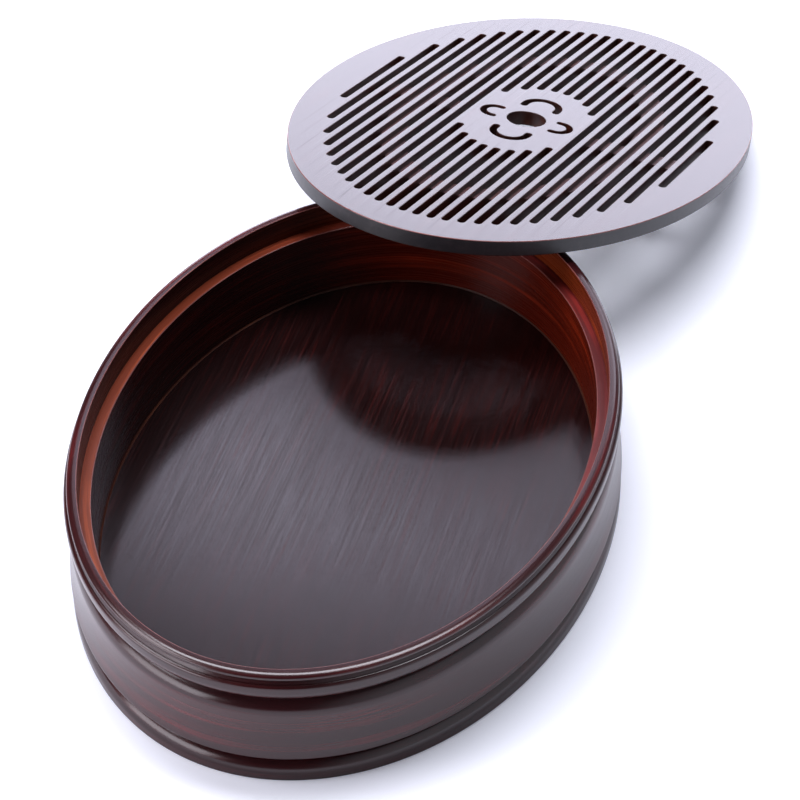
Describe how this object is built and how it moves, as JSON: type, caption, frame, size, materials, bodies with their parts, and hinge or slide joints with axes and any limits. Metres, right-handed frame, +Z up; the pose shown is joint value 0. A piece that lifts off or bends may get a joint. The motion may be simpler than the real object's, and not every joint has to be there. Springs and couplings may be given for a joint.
{
  "type": "gongfu tea tray",
  "caption": "Oval tea tray for gongfu tea: a moulded water box with a rebated rim, and its slotted drain lid with a finger hole, lifted off and leaning on the rim.",
  "frame": {"origin": "middle of the bounds of the whole arrangement, box and leaning lid, on the surface that both stand on", "axes": "+X along the long way of the box, towards the side where the lid leans; +Y across the box; +Z up"},
  "size_m": [0.6033, 0.2645, 0.0872],
  "materials": {
    "rim": "semi-gloss brown-black lacquer on wood",
    "wall": "semi-gloss brown-black lacquer on wood",
    "plinth": "semi-gloss brown-black lacquer on wood",
    "floor": "satin dark lacquer over straight grain",
    "seal": "thin satin bead of sealer",
    "lid": "satin dark lacquer on wood",
    "rib": "thin lacquer on wood"
  },
  "bodies": {
    "box": {"rim_ring": "rim", "wall_ring": "wall", "base_ring": "plinth", "floor_panel": "floor", "floor_seal": "seal"},
    "lid": {"lid_board": "lid", "left_rib": "rib", "right_rib": "rib", "front_bar": "rib", "back_bar": "rib"}
  },
  "joints": [
    {"name": "lid_lift", "type": "slide", "parent": "box", "child": "lid", "axis": [0, 0, 1], "range_m": [0, 0.08]}
  ]
}
